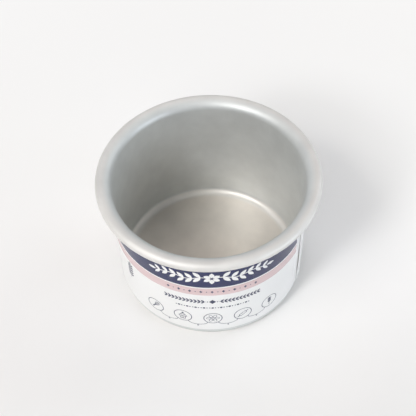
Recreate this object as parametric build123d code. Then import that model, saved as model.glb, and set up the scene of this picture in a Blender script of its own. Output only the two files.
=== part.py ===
from build123d import *
import math
import os

# Round cake tin, four inches across and three inches deep, in its paper sleeve.
# Millimetres. The origin is the centre of the underside of the base, +Z is up,
# and the middle of the sleeve's front faces -Y.

# Driving dimensions of the tin
inner_diameter = 101.6       # between the inside faces of the straight wall: four inches
inner_depth = 76.2           # from the floor to the top of the rim: three inches
sheet_thickness = 1.0        # one sheet forms floor, wall and rim
corner_radius = 4.0          # inside, where the floor turns up into the wall

# Rolled rim: the sheet bends outwards over the top, then its edge is curled under
rim_bend_radius = 5.6        # of the skin that is seen from inside the tin
rim_curl_radius = 2.8        # of the skin of the hollow bead
rim_curl_turn = 235.0        # degrees that the sheet turns from the top of the rim to its lip

# Paper sleeve: one strip wrapped round the wall, its ends lapped and glued
paper_thickness = 0.25
sleeve_clearance = 0.25      # between the paper and the wall, so that the tin slides out
sleeve_lift = 7.0            # bare metal below the sleeve, from the surface that the tin stands on
sleeve_top_gap = 0.6         # from the sleeve's upper edge to where the wall starts to bend
lap_width = 6.8              # along the wall, where one end lies over the other
lap_climb = 3.5              # along the wall, where the outer end climbs over the inner one
lap_edge_turn = 65.5         # degrees from the front, towards +X, to the outer end's edge

# Glue between the lapped ends
glue_thickness = 0.1
glue_side_margin = 0.9       # of bare paper beside the glue, inside the lap
glue_end_margin = 2.0        # of bare paper above and below the glue

# Sizes worked out from the ones above
inner_radius = inner_diameter / 2
outer_radius = inner_radius + sheet_thickness
tin_height = inner_depth + sheet_thickness
outer_corner_radius = corner_radius + sheet_thickness
corner_centre_radius = inner_radius - corner_radius
rim_centre_radius = inner_radius + rim_bend_radius
bend_height = tin_height - rim_bend_radius
curl_height = tin_height - rim_curl_radius

paper_inner_radius = outer_radius + sleeve_clearance
paper_outer_radius = paper_inner_radius + paper_thickness
lap_inner_radius = paper_outer_radius + glue_thickness
lap_outer_radius = lap_inner_radius + paper_thickness
sleeve_height = bend_height - sleeve_top_gap - sleeve_lift
glue_height = sleeve_height - 2 * glue_end_margin


def turn_along(arc_length):
    """The degrees that a length along the paper takes up round the tin."""
    return math.degrees(arc_length / paper_outer_radius)


# Angles are degrees that count from +X towards +Y, so the front is a quarter turn back
quarter_turn = 90.0
full_turn = 360.0
lap_end_angle = lap_edge_turn - quarter_turn
lap_turn = turn_along(lap_width)
climb_turn = turn_along(lap_climb)
glue_margin_turn = turn_along(glue_side_margin)
lap_start_angle = lap_end_angle + lap_turn
climb_start_angle = lap_start_angle + climb_turn

axis_point = (0, 0)


def on_circle(centre, radius, angle):
    """The point at an angle on a circle in the sketch's own plane."""
    x = centre[0] + radius * math.cos(math.radians(angle))
    y = centre[1] + radius * math.sin(math.radians(angle))
    return (x, y)


def line_between(centre, first_radius, first_angle, second_radius, second_angle):
    """A straight edge between points on two circles about one centre."""
    first = on_circle(centre, first_radius, first_angle)
    second = on_circle(centre, second_radius, second_angle)
    return Line(first, second)


def tin_section():
    """Half the tin's section: x is the distance from the axis, y the height."""
    corner_centre = (corner_centre_radius, outer_corner_radius)
    bend_centre = (rim_centre_radius, bend_height)
    curl_centre = (rim_centre_radius, curl_height)
    bend_under_radius = rim_bend_radius - sheet_thickness
    curl_bore_radius = rim_curl_radius - sheet_thickness
    lip_angle = quarter_turn - rim_curl_turn

    # Underside, up the outside of the wall and round the bead's hollow
    underside = Line((0, 0), (corner_centre_radius, 0))
    outer_corner = CenterArc(corner_centre, outer_corner_radius, -quarter_turn, quarter_turn)
    outer_wall = Line((outer_radius, outer_corner_radius), (outer_radius, bend_height))
    under_bend = CenterArc(bend_centre, bend_under_radius, quarter_turn, quarter_turn)
    bead_hollow = CenterArc(curl_centre, curl_bore_radius, lip_angle, rim_curl_turn)
    lip = line_between(curl_centre, curl_bore_radius, lip_angle, rim_curl_radius, lip_angle)

    # Back over the bead and the top of the rim, and down the inside to the floor
    bead_skin = CenterArc(curl_centre, rim_curl_radius, lip_angle, rim_curl_turn)
    over_bend = CenterArc(bend_centre, rim_bend_radius, quarter_turn, quarter_turn)
    inner_wall = Line((inner_radius, bend_height), (inner_radius, outer_corner_radius))
    inner_corner = CenterArc(corner_centre, corner_radius, -quarter_turn, quarter_turn)
    floor = Line((corner_centre_radius, sheet_thickness), (0, sheet_thickness))
    axis_edge = Line((0, sheet_thickness), (0, 0))

    outside = [underside, outer_corner, outer_wall, under_bend, bead_hollow, lip]
    inside = [bead_skin, over_bend, inner_wall, inner_corner, floor, axis_edge]
    return make_face(outside + inside)


def tin_shell():
    """The tin: one sheet drawn and spun into floor, wall and rolled rim."""
    return revolve(Plane.XZ * tin_section(), Axis.Z)


def sleeve_section():
    """The paper seen from above: once round the wall clockwise, then over its own start."""
    start, end = lap_start_angle, lap_end_angle
    climb = climb_start_angle
    round_turn = climb_turn - full_turn

    inner_end = line_between(axis_point, paper_inner_radius, start, paper_outer_radius, start)
    inner_face = CenterArc(axis_point, paper_inner_radius, start, round_turn)
    inner_climb = line_between(axis_point, paper_inner_radius, climb, lap_inner_radius, start)
    lap_face = CenterArc(axis_point, lap_inner_radius, start, -lap_turn)
    outer_end = line_between(axis_point, lap_inner_radius, end, lap_outer_radius, end)
    lap_back = CenterArc(axis_point, lap_outer_radius, start, -lap_turn)
    outer_climb = line_between(axis_point, paper_outer_radius, climb, lap_outer_radius, start)
    outer_face = CenterArc(axis_point, paper_outer_radius, start, round_turn)

    inside = [inner_end, inner_face, inner_climb, lap_face]
    outside = [outer_end, lap_back, outer_climb, outer_face]
    return make_face(inside + outside)


def label_sleeve():
    """The printed strip, standing round the wall between the corner and the rim."""
    return Pos(0, 0, sleeve_lift) * extrude(sleeve_section(), amount=sleeve_height)


def glue_section():
    """The glue seen from above, filling the gap between the lapped ends."""
    start = lap_start_angle - glue_margin_turn
    end = lap_end_angle + glue_margin_turn
    under_face = CenterArc(axis_point, paper_outer_radius, start, end - start)
    over_face = CenterArc(axis_point, lap_inner_radius, start, end - start)
    start_side = line_between(axis_point, paper_outer_radius, start, lap_inner_radius, start)
    end_side = line_between(axis_point, paper_outer_radius, end, lap_inner_radius, end)
    return make_face([under_face, end_side, over_face, start_side])


def glue_strip():
    """The line of glue that holds the outer end down on the inner one."""
    return Pos(0, 0, sleeve_lift + glue_end_margin) * extrude(glue_section(), amount=glue_height)


nodes = {
    "tin_shell": tin_shell(),
    "label_sleeve": label_sleeve(),
    "glue_strip": glue_strip(),
}

os.makedirs("parts", exist_ok=True)
for name, solid in nodes.items():
    export_step(solid, f"parts/{name}.step")
    print(f"{name}: {solid.volume:.1f} cubic mm")
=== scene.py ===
# %% [markdown]
# # A round cake tin in its paper sleeve
#
# The real object is one sheet of satin anodised aluminium, drawn and spun into a deep round
# tin with a rolled rim. A printed strip of paper is wrapped round its wall, with its ends
# lapped and glued. This lesson dresses the solid model: it models the sheet and the paper
# again with smooth faces, prints the paper, mixes the finishes, and lights the whole.
# The frame comes first, because every size and place is in its metres.

# %% The frame
import math

import bmesh
import bpy
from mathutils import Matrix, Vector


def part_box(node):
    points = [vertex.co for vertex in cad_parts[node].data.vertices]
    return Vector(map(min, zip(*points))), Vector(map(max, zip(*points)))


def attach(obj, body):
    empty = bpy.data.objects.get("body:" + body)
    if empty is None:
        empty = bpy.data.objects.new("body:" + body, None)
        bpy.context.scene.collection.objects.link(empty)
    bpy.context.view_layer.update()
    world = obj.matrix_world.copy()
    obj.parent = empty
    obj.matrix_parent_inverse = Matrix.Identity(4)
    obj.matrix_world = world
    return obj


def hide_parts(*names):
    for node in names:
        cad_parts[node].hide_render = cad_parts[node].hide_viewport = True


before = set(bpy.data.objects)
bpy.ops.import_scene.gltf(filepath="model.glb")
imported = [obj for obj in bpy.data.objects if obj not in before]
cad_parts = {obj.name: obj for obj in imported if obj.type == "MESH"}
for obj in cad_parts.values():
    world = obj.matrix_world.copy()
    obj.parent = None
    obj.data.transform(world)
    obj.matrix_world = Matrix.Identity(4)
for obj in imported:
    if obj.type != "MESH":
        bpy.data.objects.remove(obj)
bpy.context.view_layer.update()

# %% [markdown]
# ## Sizes
#
# The frame is in metres and a tin is thought of in millimetres, so every length is written
# as a number of mm. The sizes are those of the solid model, and the first step prints the
# tin's height and the rim's width from its box.

# %% Sizes of the tin and the paper
mm = 0.001

inner_radius = 50.8 * mm
sheet_thickness = 1.0 * mm
corner_radius = 4.0 * mm
tin_height = 77.2 * mm
rim_bend_radius = 5.6 * mm
rim_curl_radius = 2.8 * mm
lip_angle = -145.0

paper_thickness = 0.25 * mm
paper_middle_radius = 52.175 * mm
paper_bottom = 7.0 * mm
paper_top = 71.0 * mm

low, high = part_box("tin_shell")
print(f"tin: {high.z / mm:.1f} mm high, {(high.x - low.x) / mm:.1f} mm across the rim")

# %% [markdown]
# ## Working as by hand
#
# Blender's operators act on what is selected, as they do under a modeller's hand. So each
# step starts with nothing selected, opens one piece, and then selects by place in code.

# %% Selecting and opening


def put_down():
    """Back to object mode, with nothing selected."""
    if bpy.context.object and bpy.context.object.mode != "OBJECT":
        bpy.ops.object.mode_set(mode="OBJECT")
    bpy.ops.object.select_all(action="DESELECT")


def pick_up(piece):
    """Selects one piece and makes it the active one."""
    put_down()
    piece.select_set(True)
    bpy.context.view_layer.objects.active = piece


def open_up(piece):
    """Edit mode on one piece, with nothing in it selected."""
    pick_up(piece)
    bpy.ops.object.mode_set(mode="EDIT")
    bpy.ops.mesh.select_all(action="DESELECT")


# %% [markdown]
# A modifier is applied as soon as it is added, so each step starts from plain faces. A
# finished piece has its place put into its mesh and its object left at the origin, because
# the finishes measure their grain from there.

# %% Shaping and settling


def apply_modifier(piece, name, kind, **settings):
    """Adds one modifier with its settings and applies it at once."""
    pick_up(piece)
    modifier = piece.modifiers.new(name, kind)
    for setting, value in settings.items():
        setattr(modifier, setting, value)
    bpy.ops.object.modifier_apply(modifier=modifier.name)


def place_in_mesh():
    """Puts the place, turn and size of what is picked up into its mesh."""
    bpy.ops.object.transform_apply(location=True, rotation=True, scale=True)


def smooth(piece, degrees):
    """Shades smooth, and keeps edges sharper than the angle crisp."""
    pick_up(piece)
    bpy.ops.object.shade_smooth_by_angle(angle=math.radians(degrees))


def settle(piece, name):
    """Names a finished piece and puts its place into its mesh."""
    pick_up(piece)
    place_in_mesh()
    piece.name = name
    piece.data.name = name
    print(f"{name}: {len(piece.data.polygons)} faces")


# %% [markdown]
# ## The camera
#
# The photograph was taken from in front and above, with a lens of about 71 mm on a full
# frame, half a metre away. Those numbers come from fitting the edges of the rim, floor and
# base. The camera leans by a little over a degree, as a camera in the hand does.

# %% The camera
camera_place = (0, -277.02 * mm, 401.38 * mm)
camera_turns = (math.radians(38.061), math.radians(1.203), math.radians(-1.365))
lens_length = 71.15
full_frame_width = 36.0
nearest_seen = 10 * mm

bpy.ops.object.camera_add(location=camera_place, rotation=camera_turns)
camera = bpy.context.object
camera.data.lens = lens_length
camera.data.sensor_width = full_frame_width
camera.data.clip_start = nearest_seen
bpy.context.scene.camera = camera
print("camera:", tuple(round(value, 4) for value in camera.location))

# %% [markdown]
# ## The tin's sheet
#
# On the lathe a roller pulls the sheet outwards and up, ring by ring. The same can be done
# here: the floor is a disc, and its edge is extruded to one station after another of the
# section. Spinning a profile would do as well, but the pulled rings need no merging and
# their faces all point the same way. The stations are the solid's own arcs and lines, on
# the skin that is seen from inside the tin.

# %% The stations of the section
floor_radius = inner_radius - corner_radius
corner_height = sheet_thickness + corner_radius
rim_centre = inner_radius + rim_bend_radius
bend_height = tin_height - rim_bend_radius
curl_height = tin_height - rim_curl_radius
corner_steps, wall_steps, bend_steps, curl_steps = 12, 10, 16, 40


def arc_stations(centre, radius, first, last, steps):
    """Places along an arc of the section: distance from the axis, and height."""
    places = []
    for step in range(1, steps + 1):
        angle = math.radians(first + (last - first) * step / steps)
        across = centre[0] + radius * math.cos(angle)
        height = centre[1] + radius * math.sin(angle)
        places.append((across, height))
    return places


def wall_stations(across, first, last, steps):
    """Places up a straight wall."""
    return [(across, first + (last - first) * step / steps) for step in range(1, steps + 1)]


stations = arc_stations((floor_radius, corner_height), corner_radius, -90, 0, corner_steps)
stations += wall_stations(inner_radius, corner_height, bend_height, wall_steps)
stations += arc_stations((rim_centre, bend_height), rim_bend_radius, 180, 90, bend_steps)
stations += arc_stations((rim_centre, curl_height), rim_curl_radius, 90, lip_angle, curl_steps)
print(len(stations), "stations from the floor's edge to the lip")

# %% Pulling the sheet
round_steps = 192

put_down()
bpy.ops.mesh.primitive_circle_add(
    vertices=round_steps, radius=floor_radius, fill_type="TRIFAN",
    location=(0, 0, sheet_thickness),
)
tin = bpy.context.object
pick_up(tin)
place_in_mesh()
open_up(tin)
bpy.ops.mesh.select_mode(type="EDGE")
bpy.ops.mesh.select_all(action="SELECT")
bpy.ops.mesh.region_to_loop()
place = (floor_radius, sheet_thickness)
for station in stations:
    rise = station[1] - place[1]
    growth = station[0] / place[0]
    bpy.ops.mesh.extrude_region_move(TRANSFORM_OT_translate={"value": (0, 0, rise)})
    bpy.ops.transform.resize(value=(growth, growth, 1), center_override=(0, 0, station[1]))
    place = station
print("the lip is at", [round(value / mm, 2) for value in place], "mm")

# %% [markdown]
# The skin becomes a sheet with Solidify, which adds the millimetre on the hidden side. The
# normals are made consistent first, and the floor's must look up. The lip is a cut edge, so
# a small bevel takes its sharpness off, as deburring does.

# %% The sheet's thickness and its lip
lip_bevel = 0.2 * mm
lip_segments = 3
cut_edge_angle = 60
metal_crease = 40

bpy.ops.mesh.select_mode(type="FACE")
bpy.ops.mesh.select_all(action="SELECT")
bpy.ops.mesh.normals_make_consistent(inside=False)
if bmesh.from_edit_mesh(tin.data).faces[:][0].normal.z < 0:
    bpy.ops.mesh.flip_normals()
put_down()
apply_modifier(
    tin, "sheet", "SOLIDIFY",
    thickness=sheet_thickness, offset=-1.0, use_even_offset=True,
)
apply_modifier(
    tin, "deburring", "BEVEL", width=lip_bevel, segments=lip_segments,
    limit_method="ANGLE", angle_limit=math.radians(cut_edge_angle),
)
smooth(tin, metal_crease)
settle(tin, "spun_tin")
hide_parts("tin_shell")
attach(tin, "tin")

# %% [markdown]
# ## The paper sleeve
#
# The sleeve is a flat strip until it is wrapped, so it is modelled flat and bent last. It
# stands in the XZ plane: X runs along the paper from the middle of the front, and Z is the
# height. Its right end is the inner end of the lap. The left end goes round the back and
# lies over it, with its edge in sight at the right of the front. Places along the strip are
# given in degrees round the tin, which is how they are seen. Outwards is -Y.

# %% Measures along the paper
lap_edge = 65.5
lap_turn = 7.45
climb_turn = 3.84
full_turn = 360
outer_end = lap_edge - full_turn
inner_end = lap_edge + lap_turn


def along(degrees):
    """The distance along the paper from the middle of the front."""
    return math.radians(degrees) * paper_middle_radius


strip_length = along(inner_end - outer_end)
print(f"the strip is {strip_length / mm:.1f} mm long")

# %% [markdown]
# The lap climbs by the paper and the glue under it. The glue line doesn't hold the whole
# edge: between two heights the outer end has come up by about a fifth of a millimetre, and
# beside it the front sheet has a soft crease, where a thumb pressed the lap down. Both fade
# out above and below. A function of the place on the strip says it all in one number, so
# the flat strip only has to be moved outwards by that number.

# %% How far the paper stands off the wall
lap_step = 0.35 * mm
loose_low, loose_high = 13.0 * mm, 46.0 * mm
loose_fade = 9.0 * mm
edge_lift = 0.22 * mm
lift_turn = 3.6
crease_start, crease_turn, crease_end = 48.0, 58.0, 65.0
crease_rise = 0.40 * mm


def held(share):
    """A share held between 0 and 1."""
    return min(max(share, 0), 1)


def eased(share):
    """A smooth step from 0 to 1."""
    share = held(share)
    return share * share * (3 - 2 * share)


def stand_off(x, z):
    """How far the paper stands off the wall at a place on the strip."""
    loose = eased((z - loose_low) / loose_fade) * eased((loose_high - z) / loose_fade)
    climb = eased((along(outer_end + lap_turn + climb_turn) - x) / along(climb_turn))
    lift = eased((along(outer_end + lift_turn) - x) / along(lift_turn))
    rise = held((x - along(crease_start)) / along(crease_turn - crease_start))
    fall = held((along(crease_end) - x) / along(crease_end - crease_turn))
    crease = min(rise * rise, fall)
    return climb * lap_step + loose * (lift * edge_lift + crease * crease_rise)


loosest = stand_off(along(outer_end), (loose_low + loose_high) / 2)
print(f"the outer end stands up to {loosest / mm:.2f} mm off the layer on the wall")

# %% [markdown]
# The strip itself is a grid of one row, turned to stand up and stretched to the paper's
# length and height. Its columns are narrow enough to look round once it is wrapped.

# %% The flat strip
quarter_turn = math.radians(90)
column_turn = 1.5
columns = round((inner_end - outer_end) / column_turn)
strip_height = paper_top - paper_bottom
strip_middle = along((outer_end + inner_end) / 2)

put_down()
bpy.ops.mesh.primitive_grid_add(
    x_subdivisions=columns, y_subdivisions=1, size=1,
    location=(strip_middle, 0, (paper_top + paper_bottom) / 2), rotation=(quarter_turn, 0, 0),
)
sleeve = bpy.context.object
sleeve.scale = (strip_length, strip_height, 1)
pick_up(sleeve)
place_in_mesh()
print(f"strip: {strip_length / mm:.1f} by {strip_height / mm:.1f} mm in {columns} columns")

# %% [markdown]
# The lap needs finer columns than the rest, and rows, so that the climb, the loose edge and
# the crease are soft bends. Solidify then gives the paper its quarter of a millimetre, half
# to each side of its middle.

# %% The lap and the paper's thickness
lap_columns = (0.3, 0.7, 1.1, 1.6, 2.1, 2.6, 3.1, 7.45, 8.1, 8.8, 9.5, 10.2, 10.9)
crease_columns = (56.6, 57.3, 57.7, 58.0, 58.3, 58.7, 59.4, 65.0)
loose_rows = (11, 13, 15, 17, 19, 22, 26, 30, 34, 37, 39, 43, 46)


def cut_column(x):
    """Cuts the whole open piece from top to bottom at a distance along the paper."""
    bpy.ops.mesh.select_all(action="SELECT")
    bpy.ops.mesh.bisect(plane_co=(x, 0, 0), plane_no=(1, 0, 0))


def cut_row(z):
    """Cuts the whole open piece from end to end at a height."""
    bpy.ops.mesh.select_all(action="SELECT")
    bpy.ops.mesh.bisect(plane_co=(0, 0, z), plane_no=(0, 0, 1))


open_up(sleeve)
for degrees in lap_columns:
    cut_column(along(outer_end + degrees))
for degrees in crease_columns:
    cut_column(along(degrees))
for height in loose_rows:
    cut_row(height * mm)
put_down()
for vertex in sleeve.data.vertices:
    vertex.co.y -= stand_off(vertex.co.x, vertex.co.z)
apply_modifier(sleeve, "paper", "SOLIDIFY", thickness=paper_thickness, offset=0.0)
print("strip cut into", len(sleeve.data.polygons), "faces")

# %% [markdown]
# ## The printed fields
#
# The print is a deep blue field under the rim, a thin bare line, and a pale pink band. The
# paper is bare below them, and at both ends, where the printer leaves a margin. The fields
# could be a texture, but real edges between faces stay sharp at any size, so the strip is
# cut along each edge and the faces in between get the ink as a material of their own.

# %% Where the fields lie
blue_bottom = 49.0 * mm
pink_top = 48.2 * mm
pink_bottom = 41.6 * mm
top_line_low = 68.4 * mm
top_line_high = 69.0 * mm
print_start = -280.0
print_end = 60.0

open_up(sleeve)
for height in (blue_bottom, pink_top, pink_bottom, top_line_low, top_line_high):
    cut_row(height)
for degrees in (print_start, print_end):
    cut_column(along(degrees))
put_down()
print("and then into", len(sleeve.data.polygons), "faces")

# %% [markdown]
# ## Mixing the finishes
#
# Each finish is a Principled shader with its own nodes for grain and wear. All of them read
# Object coordinates, which on a finished piece are the frame's metres, so a grain has a
# true size. A few helpers keep the node work short.

# %% Finishes and nodes


def new_finish(name, colour, metallic=0.0, roughness=0.5):
    """A material with a Principled shader, and the node tree that feeds it."""
    finish = bpy.data.materials.new(name)
    finish.use_nodes = True
    shader = finish.node_tree.nodes["Principled BSDF"]
    shader.inputs["Base Color"].default_value = (*colour, 1)
    shader.inputs["Metallic"].default_value = metallic
    shader.inputs["Roughness"].default_value = roughness
    return finish, finish.node_tree, shader


def add_node(tree, kind, **settings):
    """A node with its settings, and its inputs where the name is an input's."""
    node = tree.nodes.new(kind)
    for setting, value in settings.items():
        if hasattr(node, setting):
            setattr(node, setting, value)
        else:
            node.inputs[setting.replace("_", " ").title()].default_value = value
    return node


def piece_places(tree):
    """Places on the piece, in the frame's metres."""
    return add_node(tree, "ShaderNodeTexCoord").outputs["Object"]


# %% [markdown]
# Grain is noise, a value between 0 and 1 that wanders from place to place. Its scale is in
# cells to the metre, so it has a true size, and a bump turns it into relief of a true depth
# without any more faces.

# %% Grain and relief


def noise(tree, places, scale, detail=2.0):
    """Noise on given places, its scale in cells per metre."""
    node = add_node(tree, "ShaderNodeTexNoise", scale=scale, detail=detail)
    tree.links.new(places, node.inputs["Vector"])
    return node.outputs["Fac"]


def map_range(tree, value, low_in, high_in, low_out, high_out):
    """Maps a value from one range to another, and holds it there."""
    node = add_node(
        tree, "ShaderNodeMapRange",
        from_min=low_in, from_max=high_in, to_min=low_out, to_max=high_out,
    )
    tree.links.new(value, node.inputs["Value"])
    return node.outputs["Result"]


def add_bump(tree, height, distance, strength, below=None):
    """A bump of a given depth in metres, on top of another one."""
    node = add_node(tree, "ShaderNodeBump", distance=distance, strength=strength)
    tree.links.new(height, node.inputs["Height"])
    if below:
        tree.links.new(below, node.inputs["Normal"])
    return node.outputs["Normal"]


# %% [markdown]
# A colour varies in one of two ways: two colours are mixed by a noise, or a ramp of several
# colours follows one number, such as a distance.

# %% Colours that vary


def mix_colours(tree, share, first, second):
    """Mixes two colours by a share that comes from nodes."""
    node = add_node(tree, "ShaderNodeMix", data_type="RGBA")
    tree.links.new(share, node.inputs["Factor"])
    node.inputs["A"].default_value = (*first, 1)
    node.inputs["B"].default_value = (*second, 1)
    return node.outputs["Result"]


def ramp(tree, value, stops):
    """Colours that change over a value, between stops of a position and a colour."""
    node = add_node(tree, "ShaderNodeValToRGB")
    tree.links.new(value, node.inputs["Fac"])
    elements = node.color_ramp.elements
    elements.remove(elements[1])
    for number, (position, colour) in enumerate(stops):
        element = elements[0] if number == 0 else elements.new(position)
        element.position, element.color = position, (*colour, 1)
    return node.outputs["Color"]


def grey(brightness):
    """A grey of a given brightness."""
    return (brightness, brightness, brightness)


# %% [markdown]
# ## Satin anodised aluminium
#
# Anodising etches the metal to a fine even matt and seals it under clear oxide, so the tin
# is a soft mirror with no grain that the eye can follow. Close up there is a fine pitting,
# faint rings where the sheet was spun, and slow cloudiness from the bath. The rings follow
# the distance from the axis on the floor and the height on the wall, so the noise reads
# those two numbers in place of X, Y and Z. The shader is only half metallic, because the
# oxide scatters light back like chalk as well as letting the metal mirror it.

# %% The finish of the tin
ring_scale, ring_detail, ring_depth, ring_strength = 1600, 3.0, 0.004 * mm, 0.5
pit_scale, pit_depth, pit_strength = 5200, 0.006 * mm, 0.6
cloud_scale, cloud_detail = 80, 4.0
cloud_low, cloud_high = 0.35, 0.65
usual_tint, usual_matt, metal_share = (0.69, 0.683, 0.669), 0.48, 0.5

aluminium, tree, shader = new_finish(
    "satin_anodised_aluminium", usual_tint, metal_share, usual_matt
)
coordinates = piece_places(tree)

flatten = add_node(tree, "ShaderNodeVectorMath", operation="MULTIPLY")
flatten.inputs[1].default_value = (1, 1, 0)
tree.links.new(coordinates, flatten.inputs[0])
distance = add_node(tree, "ShaderNodeVectorMath", operation="LENGTH")
tree.links.new(flatten.outputs["Vector"], distance.inputs[0])
split = add_node(tree, "ShaderNodeSeparateXYZ")
tree.links.new(coordinates, split.inputs["Vector"])
ring_places = add_node(tree, "ShaderNodeCombineXYZ")
tree.links.new(distance.outputs["Value"], ring_places.inputs["X"])
tree.links.new(split.outputs["Z"], ring_places.inputs["Y"])

rings = noise(tree, ring_places.outputs["Vector"], ring_scale, ring_detail)
pitting = noise(tree, coordinates, pit_scale)
cloud_noise = noise(tree, coordinates, cloud_scale, cloud_detail)
clouds = map_range(tree, cloud_noise, cloud_low, cloud_high, 0, 1)

ring_relief = add_bump(tree, rings, ring_depth, ring_strength)
relief = add_bump(tree, pitting, pit_depth, pit_strength, ring_relief)
tree.links.new(relief, shader.inputs["Normal"])
print("the tin's relief is", round((ring_depth + pit_depth) / mm, 3), "mm deep at most")

# %% [markdown]
# Spinning stretches the sheet at the corner and most of all over the rim, and stretched
# metal etches to a coarser matt. Both places are rings round the axis, so a colour ramp
# over the distance from the axis adds the matt where it belongs, in steps of a radius in
# millimetres and what is added there.

# %% Matt by how far the sheet was stretched
ramp_reach = 60
stretched = ((46.5, 0), (48.5, 0.04), (50.6, 0), (51, 0), (54, 0.16))
least_matt, most_matt = 0.46, 0.50

reach = map_range(tree, distance.outputs["Value"], 0, ramp_reach * mm, 0, 1)
matt_stops = [(radius / ramp_reach, grey(matt)) for radius, matt in stretched]
roughness = add_node(tree, "ShaderNodeMath", operation="ADD")
tree.links.new(map_range(tree, clouds, 0, 1, least_matt, most_matt), roughness.inputs[0])
tree.links.new(ramp(tree, reach, matt_stops), roughness.inputs[1])
tree.links.new(roughness.outputs["Value"], shader.inputs["Roughness"])
print("matt on the rim:", round(usual_matt + stretched[-1][1], 2))

# %% [markdown]
# The colour changes in rings round the axis, and most of it is painted light: the floor is
# painted a little warm for warm reflected light, the ring of the corner is painted paler as a
# highlight, the wall is painted cool for cool light from the side, and the rim lies between.
# The same distance from the axis tells them apart, and the clouds make each a little darker
# or lighter.

# %% The tint of the oxide, with painted light
# painted light: a warm glow on the floor, a highlight on the corner ring, cool light on the
# wall
floor_painted_warm_light = (0.753, 0.703, 0.645)
corner_painted_highlight = (0.80, 0.775, 0.74)
wall_painted_cool_light = (0.658, 0.675, 0.668)
rim_tint = (0.735, 0.722, 0.700)
tints_and_painted_light = (
    (45.5, floor_painted_warm_light), (47.5, corner_painted_highlight), (50, corner_painted_highlight),
    (50.7, wall_painted_cool_light), (53, wall_painted_cool_light), (56, rim_tint),
)
cloud_shade, cloud_light = grey(0.96), grey(1.04)

# the ramp paints these lights in rings round the axis
tint_and_painted_light_ramp = ramp(tree, reach, [(radius / ramp_reach, colour) for radius, colour in tints_and_painted_light])
cloudiness = mix_colours(tree, clouds, cloud_shade, cloud_light)
clouded = add_node(tree, "ShaderNodeMix", data_type="RGBA", blend_type="MULTIPLY")
clouded.inputs["Factor"].default_value = 1
tree.links.new(tint_and_painted_light_ramp, clouded.inputs["A"])
tree.links.new(cloudiness, clouded.inputs["B"])
tree.links.new(clouded.outputs["Result"], shader.inputs["Base Color"])
tin.data.materials.append(aluminium)
print("tints from the floor to the rim at", [radius for radius, colour in tints_and_painted_light], "mm")

# %% [markdown]
# ## Paper and inks
#
# The sleeve is white coated paper with a slight gloss. Its fibres show as a very fine
# relief under the coating, and it isn't perfectly flat, which a slow second relief gives.
# The inks lie on the same paper, so they share its relief and differ in colour and gloss.

# %% The finish of the paper
fibre_scale, fibre_detail, fibre_depth, fibre_strength = 3800, 4.0, 0.008 * mm, 0.35
wave_scale, wave_detail, wave_depth, wave_strength = 90, 1.0, 0.25 * mm, 0.25
bare_white = ((0.84, 0.84, 0.835), (0.80, 0.80, 0.795))
deep_blue = ((0.007, 0.013, 0.076), (0.011, 0.018, 0.088))
pale_pink = ((0.69, 0.53, 0.535), (0.66, 0.505, 0.51))
bare_matt, blue_matt, pink_matt = 0.28, 0.17, 0.24


def paper_finish(name, colours, roughness):
    """White or printed coated paper: two near colours that follow its fibres, and relief."""
    finish, tree, shader = new_finish(name, colours[0], 0.0, roughness)
    places = piece_places(tree)
    fibres = noise(tree, places, fibre_scale, fibre_detail)
    waves = noise(tree, places, wave_scale, wave_detail)
    relief = add_bump(tree, waves, wave_depth, wave_strength)
    relief = add_bump(tree, fibres, fibre_depth, fibre_strength, relief)
    tree.links.new(relief, shader.inputs["Normal"])
    tree.links.new(mix_colours(tree, fibres, *colours), shader.inputs["Base Color"])
    return finish


white_paper = paper_finish("white_coated_paper", bare_white, bare_matt)
blue_ink = paper_finish("deep_blue_ink", deep_blue, blue_matt)
pink_ink = paper_finish("pale_pink_ink", pale_pink, pink_matt)
for finish in (white_paper, blue_ink, pink_ink):
    sleeve.data.materials.append(finish)
print("the sleeve's finishes:", [finish.name for finish in sleeve.data.materials])

# %% [markdown]
# A face gets ink if it is on the outside, between the printer's margins and in the height
# of a field. Operators work on what is selected, so the faces of one ink are selected and
# given that ink, and then those of the next.

# %% Inking the fields
facing_out = -0.9


def select_faces(piece, wanted):
    """Selects the faces of an open piece for which wanted(face) is true."""
    bpy.ops.mesh.select_mode(type="FACE")
    bpy.ops.mesh.select_all(action="DESELECT")
    mesh = bmesh.from_edit_mesh(piece.data)
    for face in mesh.faces:
        face.select_set(bool(wanted(face)))
    bmesh.update_edit_mesh(piece.data)


def in_print(face):
    """Whether a face is on the paper's outside and between the margins."""
    middle = face.calc_center_median()
    return face.normal.y < facing_out and along(print_start) < middle.x < along(print_end)


def is_blue(face):
    """Whether a face lies in the blue field, outside the bare line near its top."""
    height = face.calc_center_median().z
    in_line = top_line_low < height < top_line_high
    return in_print(face) and height > blue_bottom and not in_line


def is_pink(face):
    """Whether a face lies in the pink band."""
    return in_print(face) and pink_bottom < face.calc_center_median().z < pink_top


open_up(sleeve)
for number, wanted in ((1, is_blue), (2, is_pink)):
    select_faces(sleeve, wanted)
    sleeve.active_material_index = number
    bpy.ops.object.material_slot_assign()
put_down()
inked = sum(face.material_index > 0 for face in sleeve.data.polygons)
print(inked, "faces of the paper are inked")

# %% [markdown]
# ## Wrapping the paper
#
# Simple Deform bends the strip about its origin, the middle of the front. Its angle is the
# strip's length over the radius. Bent like that, the strip goes round a circle that only
# touches the origin, so it is moved back by one radius to go round the tin.

# %% Wrapping
paper_crease = 30


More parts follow.
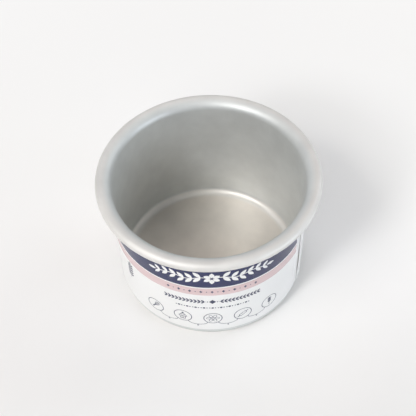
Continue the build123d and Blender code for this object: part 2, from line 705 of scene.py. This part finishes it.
def wrap(piece):
    """Bends a flat piece round the tin, from the middle of the front both ways."""
    places = [vertex.co.x for vertex in piece.data.vertices]
    turn = (max(places) - min(places)) / paper_middle_radius
    apply_modifier(
        piece, "wrap", "SIMPLE_DEFORM", deform_method="BEND", deform_axis="Z", angle=turn
    )
    open_up(piece)
    bpy.ops.mesh.select_all(action="SELECT")
    bpy.ops.transform.translate(value=(0, -paper_middle_radius, 0))
    bpy.ops.mesh.normals_make_consistent(inside=False)
    put_down()
    spread = [vertex.co.xy.length / mm for vertex in piece.data.vertices]
    print(f"wrapped at radii from {min(spread):.3f} to {max(spread):.3f} mm")


wrap(sleeve)
smooth(sleeve, paper_crease)
settle(sleeve, "paper_sleeve")
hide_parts("label_sleeve")
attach(sleeve, "sleeve")

# %% [markdown]
# ## Printing ornament
#
# The rest of the print is ornament in two colours: bare paper showing through the blue, and
# dark ink on the pink and on the bare paper. A print could be painted in a texture, but a
# line of ink under half a millimetre wide would blur there. So each mark is a film of ink
# with a real outline, laid flat on the strip's outside and wrapped round as the strip was.
# Three tools are enough to draw with: a disc, a leaf and a line.

# %% Discs and leaves
ink_rise = 0.02 * mm
ink_bed = 0.01 * mm
paper_face = -paper_thickness / 2
lozenge_points, dot_points, disc_points, leaf_points = 4, 12, 14, 16


def set_down(places, x, z, turn=0.0):
    """Millimetre places of a small drawing, turned and moved onto the strip."""
    cosine = math.cos(math.radians(turn)) * mm
    sine = math.sin(math.radians(turn)) * mm
    return [(x + a * cosine - b * sine, z + a * sine + b * cosine) for a, b in places]


def disc(x, z, radius, points=disc_points):
    """A film of ink with a round or, with four points, a lozenge outline."""
    put_down()
    bpy.ops.mesh.primitive_circle_add(
        vertices=points, radius=radius, fill_type="NGON",
        location=(x, paper_face - ink_rise, z), rotation=(quarter_turn, 0, 0),
    )
    film = bpy.context.object
    apply_modifier(film, "film", "SOLIDIFY", thickness=ink_rise + ink_bed, offset=-1.0)
    return film


def leaf_pattern(length, width):
    """One leaf along +X from the origin: a disc pressed to a point at both ends."""
    leaf = disc(0, 0, length / 2, leaf_points)
    for vertex in leaf.data.vertices:
        across = vertex.co.x / (length / 2)
        vertex.co.y = math.copysign(1 - across * across, vertex.co.y) * width / 2
        vertex.co.x += length / 2
    return leaf


def copy_to(pattern, x, z, turn=0.0, size=1.0):
    """A copy of a pattern, with its own mesh, turned anticlockwise as seen from outside."""
    piece = pattern.copy()
    piece.data = pattern.data.copy()
    bpy.context.collection.objects.link(piece)
    piece.location = (x, paper_face - ink_rise, z)
    piece.rotation_euler = (quarter_turn, -math.radians(turn), 0)
    piece.scale = (size, size, 1)
    return piece


# %% [markdown]
# A line of ink is drawn as a curve with a round bevel, made a mesh, and then pressed flat
# against the paper. That gives any path an even width and closed ends.

# %% Lines


def line(places, width, closed=False):
    """A line of ink through places on the strip, which are already close together."""
    curve = bpy.data.curves.new("line", "CURVE")
    curve.dimensions = "3D"
    curve.bevel_depth = width / 2
    curve.bevel_resolution = 0
    curve.use_fill_caps = True
    path = curve.splines.new("POLY")
    path.points.add(len(places) - 1)
    for point, (x, z) in zip(path.points, places):
        point.co = (x, 0, z, 1)
    path.use_cyclic_u = closed
    piece = bpy.data.objects.new("line", curve)
    bpy.context.collection.objects.link(piece)
    pick_up(piece)
    bpy.ops.object.convert(target="MESH")
    piece = bpy.context.object
    piece.location = (0, paper_face, 0)
    piece.scale = (1, 2 * ink_rise / width, 1)
    return piece


def oval(across, up, first=0.0, last=360.0, steps=28, centre=(0.0, 0.0)):
    """Places along an oval or part of one, in millimetres."""
    places = []
    for step in range(steps + 1):
        angle = math.radians(first + (last - first) * step / steps)
        places.append((centre[0] + across * math.cos(angle), centre[1] + up * math.sin(angle)))
    return places


def straight(start, end, steps=8):
    """Places along a straight line, in millimetres."""
    places = []
    for step in range(steps + 1):
        share = step / steps
        places.append(tuple(a + (b - a) * share for a, b in zip(start, end)))
    return places


# %% [markdown]
# ## The white garland
#
# A garland of leaves with a flower in the middle stands in the blue field, as bare paper.
# Its stem is a gentle wave and its leaves leave it in pairs, so one pattern leaf is copied
# along it, and the left half is the right one with its turns mirrored.

# %% Drawing the garland
garland_height = 57.2 * mm
leaf_spacing, first_leaf, leaf_pairs = 4.3, 5.6, 6
leaf_slope, leaf_shrink = 48, 0.05
wave_height = 0.9
stem_start, stem_step, stem_places = 2.6, 0.7, 38
stem_width = 0.6 * mm
tip_gap, tip_size = 2.2, 0.8
petal_foot, petal_turns = 0.7, range(30, 390, 60)
mirrored = 180

leaf = leaf_pattern(length=5.8 * mm, width=2.5 * mm)
petal = leaf_pattern(length=4.0 * mm, width=2.7 * mm)
white_marks = []


def stem_height(distance):
    """The height of the garland's wavy stem above its middle line, in millimetres."""
    return wave_height * math.sin(distance / leaf_spacing * math.pi / 2)


def both_slopes(side, slope):
    """The turns of a pair of leaves on one side of the middle."""
    return (-slope, slope) if side > 0 else (mirrored + slope, mirrored - slope)


stem_distances = [stem_start + stem_step * number for number in range(stem_places)]
for side in (-1, 1):
    stem = [(side * distance, stem_height(distance)) for distance in stem_distances]
    white_marks.append(line(set_down(stem, 0, garland_height), stem_width))
    for number in range(leaf_pairs):
        distance = first_leaf + leaf_spacing * number
        x = side * distance * mm
        z = garland_height + stem_height(distance) * mm
        for turn in both_slopes(side, leaf_slope):
            white_marks.append(copy_to(leaf, x, z, turn, 1.0 - leaf_shrink * number))
    tip = first_leaf + leaf_spacing * (leaf_pairs - 1) + tip_gap
    turn = 0 if side > 0 else mirrored
    z = garland_height + stem_height(tip) * mm
    white_marks.append(copy_to(leaf, side * tip * mm, z, turn, tip_size))
for turn in petal_turns:
    (x, z), = set_down([(petal_foot, 0)], 0, garland_height, turn)
    white_marks.append(copy_to(petal, x, z, turn))
print(len(white_marks), "marks in the garland")

# %% [markdown]
# ## The dark ornament
#
# Small lozenges and dots run along the pink band. Below it there is a rule of grains round
# a lozenge, then a dotted rule, and lowest a row of five ringed drawings from the kitchen,
# with swags hung between them.

# %% The band
band_height = 44.9 * mm
band_step = 2.9 * mm
band_dot, band_lozenge = 0.34 * mm, 1.15 * mm
lozenge_squeeze = 0.72
band_places = range(-8, 9)

dark_marks = []
for number in band_places:
    x = number * band_step
    if number % 2:
        dark_marks.append(disc(x, band_height, band_dot, dot_points))
    else:
        lozenge = disc(x, band_height, band_lozenge, lozenge_points)
        lozenge.scale = (lozenge_squeeze, 1, 1)
        dark_marks.append(lozenge)
print(len(dark_marks), "marks on the band")

# %% [markdown]
# The rule of grains is drawn in mirrored halves as the garland was, with a smaller leaf for
# a pattern. The dotted rule has a larger dot at every third place.

# %% The rules
grain_height, dots_height = 35.4 * mm, 29.4 * mm
rule_start, rule_end, rule_steps = 3.4, 26.4, 32
rule_width = 0.26 * mm
end_dot, end_dot_place = 0.4 * mm, 2.6 * mm
first_grain, grain_spacing, grain_pairs = 4.2, 2.0, 11
grain_slope = 42
middle_lozenge = 1.9 * mm
dot_step, dot_places, large_every = 1.5 * mm, range(-13, 14), 3
small_dot, large_dot = 0.4 * mm, 0.7 * mm

grain = leaf_pattern(length=2.5 * mm, width=1.0 * mm)
for side in (-1, 1):
    rule = straight((side * rule_start, 0), (side * rule_end, 0), rule_steps)
    dark_marks.append(line(set_down(rule, 0, grain_height), rule_width))
    dark_marks.append(disc(side * end_dot_place, grain_height, end_dot, dot_points))
    for number in range(grain_pairs):
        x = side * (first_grain + grain_spacing * number) * mm
        for turn in both_slopes(side, grain_slope):
            dark_marks.append(copy_to(grain, x, grain_height, turn))
dark_marks.append(disc(0, grain_height, middle_lozenge, lozenge_points))

for number in dot_places:
    radius = small_dot if number % large_every else large_dot
    dark_marks.append(disc(number * dot_step, dots_height, radius, dot_points))
print(len(dark_marks), "marks on the band and the rules")

# %% [markdown]
# Each ringed drawing is a function of its own, so that it can be drawn in any ring. Its
# places are in millimetres from the ring's middle, across and up, and set_down turns them
# and moves them onto the strip. The wires of the whisk start and end together at the handle,
# which a circle drawn narrower towards its foot gives.

# %% A whisk
fine_line, hair_line = 0.38 * mm, 0.30 * mm


def whisk(x, z):
    """A balloon whisk: a handle, two loops of wire and a straight one."""
    lean = -35
    handle_end, wire_foot, wire_length = -3.5, -1.0, 4.5
    wire_steps = 28
    handle = straight((0, handle_end), (0, wire_foot))
    marks = [line(set_down(handle, x, z, lean), 0.8 * mm)]
    for width in (1.55, 0.75):
        loop = []
        for step in range(wire_steps):
            angle = 2 * math.pi * step / wire_steps
            rise = (1 - math.cos(angle)) / 2
            across = width * math.sin(angle) * math.sqrt(rise)
            loop.append((across, wire_foot + wire_length * rise))
        marks.append(line(set_down(loop, x, z, lean), hair_line, closed=True))
    middle_wire = straight((0, wire_foot), (0, wire_foot + wire_length))
    marks.append(line(set_down(middle_wire, x, z, lean), hair_line))
    return marks


# %% A small cake and a blossom


def small_cake(x, z):
    """A small cake in a pleated case, with a berry on top."""
    case_top, case_foot = -0.4, -3.0
    case = straight((-1.7, case_top), (-1.2, case_foot), 4)
    case += straight((-0.9, case_foot), (1.2, case_foot), 4)
    case += straight((1.3, -2.5), (1.7, case_top), 4)
    marks = [line(set_down(case, x, z), fine_line)]
    for foot in (-0.4, 0.4):
        pleat = straight((foot, -2.9), (foot * 1.4, -0.5))
        marks.append(line(set_down(pleat, x, z), hair_line))
    crown = oval(2.2, 1.5, 0, 180, 18, (0, case_top))
    crown += straight((-1.8, case_top), (1.8, case_top))
    marks.append(line(set_down(crown, x, z), fine_line, closed=True))
    icing = oval(1.3, 1.3, 15, 165, 12, (0, 0.8))
    marks.append(line(set_down(icing, x, z), fine_line))
    berry_height, berry_radius = 2.9 * mm, 0.6 * mm
    marks.append(disc(x, z + berry_height, berry_radius))
    return marks


def blossom(x, z):
    """A blossom with six petals round a small ring."""
    eye = oval(0.7, 0.7, steps=14)[:-1]
    petal_outline = oval(1.2, 0.85, steps=16, centre=(2.3, 0))[:-1]
    marks = [line(set_down(eye, x, z), hair_line, closed=True)]
    for turn in range(0, 360, 60):
        marks.append(line(set_down(petal_outline, x, z, turn), hair_line, closed=True))
    return marks


# %% An ear of wheat and a rolling pin


def ear_of_wheat(x, z):
    """An ear of wheat on its stalk, with the grains in pairs and one on top."""
    stalk_foot, stalk_top = -3.7, 2.2
    grain_size, top_rise = 0.72, 2.1
    stalk = straight((0, stalk_foot), (0, stalk_top))
    marks = [line(set_down(stalk, x, z), hair_line)]
    for rise in (-1.2, -0.1, 1.0, top_rise):
        for slope in (52, 128):
            marks.append(copy_to(grain, x, z + rise * mm, slope, grain_size))
    marks.append(copy_to(grain, x, z + top_rise * mm, 90, grain_size))
    return marks


def rolling_pin(x, z):
    """A rolling pin, slanting."""
    lean = 40
    body = straight((-2.0, -0.85), (2.0, -0.85)) + straight((2.2, -0.6), (2.2, 0.6), 3)
    body += straight((2.0, 0.85), (-2.0, 0.85)) + straight((-2.2, 0.6), (-2.2, -0.6), 3)
    marks = [line(set_down(body, x, z, lean), fine_line, closed=True)]
    for side in (-1, 1):
        handle = straight((side * 2.3, 0), (side * 3.8, 0))
        marks.append(line(set_down(handle, x, z, lean), 0.62 * mm))
    return marks


# %% Rings and their drawings
ring_height = 18.8 * mm
ring_radius = 4.9
ring_line = 0.44 * mm
ring_turns = (-36, -18, 0, 18, 36)
drawings = (whisk, small_cake, blossom, rolling_pin, ear_of_wheat)

ring_outline = oval(ring_radius, ring_radius, steps=48)[:-1]
for turn, drawing in zip(ring_turns, drawings):
    x = along(turn)
    dark_marks.append(line(set_down(ring_outline, x, ring_height), ring_line, closed=True))
    dark_marks += drawing(x, ring_height)
print(len(dark_marks), "marks with the rings and their drawings")

# %% [markdown]
# The swags hang between neighbouring rings, with a dot below the lowest place of each. A
# sprig stands by itself at the left of the front, where the strip turns out of sight.

# %% The swags
swag_gap = 2.9
swag_drop, swag_top = 2.6, -4.0
swag_dot, swag_dot_drop = 0.5 * mm, 7.6 * mm

swag_reach = (along(ring_turns[1]) - along(ring_turns[0])) / 2 / mm - swag_gap
for turn, next_turn in zip(ring_turns, ring_turns[1:]):
    x = along((turn + next_turn) / 2)
    swag = oval(swag_reach, swag_drop, 180, 360, 24, (0, swag_top))
    dark_marks.append(line(set_down(swag, x, ring_height), fine_line))
    dark_marks.append(disc(x, ring_height - swag_dot_drop, swag_dot))
print(f"each swag hangs over {2 * swag_reach:.1f} mm")

# %% [markdown]
# The sprig stands upright, so its grains leave the stalk to both sides, with one on top.

# %% The sprig
sprig_x, sprig_foot = along(-56), 26.5 * mm
stalk_length, stalk_steps = 12, 18
sprig_first, sprig_step, sprig_pairs = 2.0, 2.1, 5
sprig_tip, sprig_size = 11.5, 1.25
sprig_slopes, upright = (40, 140), 90

stalk = straight((0, 0), (0, stalk_length), stalk_steps)
dark_marks.append(line(set_down(stalk, sprig_x, sprig_foot), fine_line))
for number in range(sprig_pairs):
    z = sprig_foot + (sprig_first + sprig_step * number) * mm
    for slope in sprig_slopes:
        dark_marks.append(copy_to(grain, sprig_x, z, slope, sprig_size))
dark_marks.append(copy_to(grain, sprig_x, sprig_foot + sprig_tip * mm, upright, sprig_size))
print(len(dark_marks), "dark marks in all")
for pattern in (leaf, petal, grain):
    bpy.data.objects.remove(pattern)

# %% [markdown]
# ## Laying the ink on the paper
#
# All marks of one colour are joined to one piece. The discs and leaves have flat faces that
# would cut through the paper when it is bent, so the piece is first cut in narrow columns.
# The back of the sleeve repeats the ornament of the front, half way round.

# %% Joining, cutting and wrapping the ink
ink_column = along(1.0)
half_way = along(180)


def lay_ink(marks, name, ink):
    """Makes one piece of a list of marks, on the front and again on the back."""
    put_down()
    for mark in marks:
        mark.select_set(True)
    bpy.context.view_layer.objects.active = marks[0]
    place_in_mesh()
    bpy.ops.object.join()
    film = bpy.context.object
    film.data.materials.clear()
    film.data.materials.append(ink)

    places = [vertex.co.x for vertex in film.data.vertices]
    first_column = math.ceil(min(places) / ink_column)
    last_column = math.ceil(max(places) / ink_column)
    open_up(film)
    for column in range(first_column, last_column):
        cut_column(column * ink_column)
    bpy.ops.mesh.select_all(action="SELECT")
    bpy.ops.mesh.duplicate_move(TRANSFORM_OT_translate={"value": (-half_way, 0, 0)})
    put_down()

    wrap(film)
    smooth(film, paper_crease)
    settle(film, name)
    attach(film, "sleeve")


# %% [markdown]
# The garland is bare paper, so it takes the white paper's finish under a name of its own. The
# dark ink is a little more matt than the blue field, because it lies thin on bare paper.

# %% Both inks
dark_blue = ((0.030, 0.036, 0.085), (0.040, 0.046, 0.098))
dark_matt = 0.30

garland_ink = paper_finish("bare_paper_garland", bare_white, bare_matt)
dark_ink = paper_finish("dark_ink", dark_blue, dark_matt)
lay_ink(white_marks, "garland_print", garland_ink)
lay_ink(dark_marks, "dark_print", dark_ink)

# %% [markdown]
# ## The glue
#
# The glue between the lapped ends is right as the solid has it, so it stays and only gets a
# finish: clear set glue, a little yellow.

# %% The finish of the glue
glue_colour = (0.85, 0.82, 0.70)
glue_colours = ((0.86, 0.83, 0.72), (0.80, 0.76, 0.62))
glue_gloss = 0.25
bubble_scale, bubble_depth, bubble_strength = 2500, 0.01 * mm, 0.4

glue, tree, shader = new_finish("clear_set_glue", glue_colour, 0.0, glue_gloss)
bubbles = noise(tree, piece_places(tree), bubble_scale)
relief = add_bump(tree, bubbles, bubble_depth, bubble_strength)
tree.links.new(relief, shader.inputs["Normal"])
tree.links.new(mix_colours(tree, bubbles, *glue_colours), shader.inputs["Base Color"])
glue_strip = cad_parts["glue_strip"]
glue_strip.data.materials.clear()
glue_strip.data.materials.append(glue)
print("the glue's finish:", glue.name)

# %% [markdown]
# ## The table and the light
#
# The tin stands on a plain off-white surface, a little brighter towards the back. That
# brightness is painted light: it could be left to the lamps, but a lamp strong enough for it
# would wash out the tin, so the surface's colour is painted darker at the front and lighter
# at the back.

# %% The table
table_size = 6
table_drop = 0.02 * mm
table_tone, table_matt, table_shine = (0.90, 0.89, 0.88), 0.7, 0.2
# painted light: the surface is painted darker at the front and lighter towards the back
front_painted_shade, back_painted_light = (0.765, 0.756, 0.747), (0.98, 0.968, 0.957)
painted_light_direction = (0.21, 0.98, 0)
painted_light_start, painted_light_end = -178 * mm, 78 * mm
surface_scale, surface_depth, surface_strength = 700, 0.02 * mm, 0.2

put_down()
bpy.ops.mesh.primitive_plane_add(size=table_size, location=(0, 0, -table_drop))
table = bpy.context.object
table.name = "table"
off_white, tree, shader = new_finish("off_white_surface", table_tone, 0.0, table_matt)
shader.inputs["Specular IOR Level"].default_value = table_shine
places = piece_places(tree)
towards_back = add_node(tree, "ShaderNodeVectorMath", operation="DOT_PRODUCT")
towards_back.inputs[1].default_value = painted_light_direction
tree.links.new(places, towards_back.inputs[0])
# the share runs from the painted shade at the front to the painted light at the back
share = map_range(tree, towards_back.outputs["Value"], painted_light_start, painted_light_end, 0, 1)
tree.links.new(mix_colours(tree, share, front_painted_shade, back_painted_light), shader.inputs["Base Color"])
surface_grain = noise(tree, places, surface_scale)
relief = add_bump(tree, surface_grain, surface_depth, surface_strength)
tree.links.new(relief, shader.inputs["Normal"])
table.data.materials.append(off_white)
print("the table is", table_size, "m across")

# %% [markdown]
# Seen from the side, a table that ends would show a dark edge behind the tin. A photographer
# hangs a long sheet of paper in a curve there. Here the far parts of the table fade to a
# pale glow instead, but only for rays that come from the camera, straight or by way of
# something shiny or clear, so that the glow is seen and gives the tin no light.

# %% The table's far parts
fade_middle = (-20 * mm, -120 * mm, 0)
fade_start, fade_end = 140 * mm, 430 * mm
horizon_start, horizon_end = 0.5, 2.4
near_glow, horizon_glow = (0.945, 0.937, 0.928), (0.84, 0.84, 0.84)

far_glow = add_node(tree, "ShaderNodeEmission")
from_front = add_node(tree, "ShaderNodeVectorMath", operation="DISTANCE")
from_front.inputs[1].default_value = fade_middle
tree.links.new(places, from_front.inputs[0])
away = from_front.outputs["Value"]
horizon = map_range(tree, away, horizon_start, horizon_end, 0, 1)
tree.links.new(mix_colours(tree, horizon, near_glow, horizon_glow), far_glow.inputs["Color"])

seen = add_node(tree, "ShaderNodeLightPath")
rays = seen.outputs["Is Camera Ray"]
for kind in ("Is Glossy Ray", "Is Transmission Ray"):
    either = add_node(tree, "ShaderNodeMath", operation="MAXIMUM")
    tree.links.new(rays, either.inputs[0])
    tree.links.new(seen.outputs[kind], either.inputs[1])
    rays = either.outputs["Value"]
far = add_node(tree, "ShaderNodeMath", operation="MULTIPLY")
tree.links.new(map_range(tree, away, fade_start, fade_end, 0, 1), far.inputs[0])
tree.links.new(rays, far.inputs[1])
fade = add_node(tree, "ShaderNodeMixShader")
tree.links.new(far.outputs["Value"], fade.inputs["Fac"])
tree.links.new(shader.outputs["BSDF"], fade.inputs[1])
tree.links.new(far_glow.outputs["Emission"], fade.inputs[2])
tree.links.new(fade.outputs["Shader"], tree.nodes["Material Output"].inputs["Surface"])
print("the table fades into the horizon between", horizon_start, "and", horizon_end, "m")

# %% [markdown]
# The main light is soft and comes from the front left, and weaker light comes from the other
# sides. One big lamp would be as soft, but it would light the inside of the wall too evenly.
# So four small lamps stand close together for the main light, and four larger, weaker ones
# stand round the tin. Each looks at the tin from a metre away. It is placed by its turn
# round the tin from the front and its height above the table, in degrees.

# %% The lamps
lamp_distance = 1.0
small_lamp, large_lamp = 0.2, 0.48
lamps = (
    ("key_lamp", -41, 40, small_lamp, 3.8, (0.98, 0.98, 1.0)),
    ("key_left_lamp", -62, 54, small_lamp, 1.3, (1.0, 0.96, 0.94)),
    ("key_top_lamp", -41, 54, small_lamp, 1.6, (1.0, 0.98, 0.90)),
    ("key_right_lamp", -20, 40, small_lamp, 0.85, (1.0, 1.0, 1.0)),
    ("low_right_lamp", 60, 15, large_lamp, 3.3, (0.82, 0.90, 1.0)),
    ("back_right_lamp", 120, 36, large_lamp, 2.2, (0.92, 0.97, 1.0)),
    ("back_left_lamp", 210, 36, large_lamp, 1.1, (0.80, 0.88, 1.0)),
    ("back_top_lamp", 162, 58, large_lamp, 0.95, (1.0, 0.87, 0.80)),
)


def soft_lamp(name, azimuth, height, size, power, colour):
    """A square area lamp that looks at the tin, placed by two angles from the front."""
    turn, tilt = math.radians(azimuth), math.radians(90 - height)
    place = (
        lamp_distance * math.sin(tilt) * math.sin(turn),
        -lamp_distance * math.sin(tilt) * math.cos(turn),
        lamp_distance * math.cos(tilt),
    )
    bpy.ops.object.light_add(type="AREA", location=place, rotation=(tilt, 0, turn))
    lamp = bpy.context.object
    lamp.name = name
    lamp.data.size = size
    lamp.data.energy = power
    lamp.data.color = colour


for lamp in lamps:
    soft_lamp(*lamp)
print(len(lamps), "lamps of", round(sum(lamp[4] for lamp in lamps), 2), "W in all")

# %% [markdown]
# The rest of the light is the room: pale walls round the table, a dim ceiling and a brighter
# place straight overhead. The world has it as a ramp over the height of the direction that
# a ray goes in, from the horizon at 0 to straight up at 1.

# %% The room
room_greys = ((0.0, 0.84), (0.22, 0.31), (0.45, 0.09), (0.68, 0.05), (0.86, 0.05), (1.0, 0.64))

world = bpy.data.worlds.new("studio")
bpy.context.scene.world = world
world.use_nodes = True
tree = world.node_tree
split = add_node(tree, "ShaderNodeSeparateXYZ")
direction = add_node(tree, "ShaderNodeTexCoord").outputs["Generated"]
tree.links.new(direction, split.inputs["Vector"])
room = ramp(tree, split.outputs["Z"], [(place, grey(shade)) for place, shade in room_greys])
tree.links.new(room, tree.nodes["Background"].inputs["Color"])
print("the room's greys:", [shade for place, shade in room_greys])

# %% [markdown]
# ## The end
#
# The view transform stays plain, so that a colour comes out as it is written.

# %% The end
bpy.context.scene.view_settings.view_transform = "Standard"
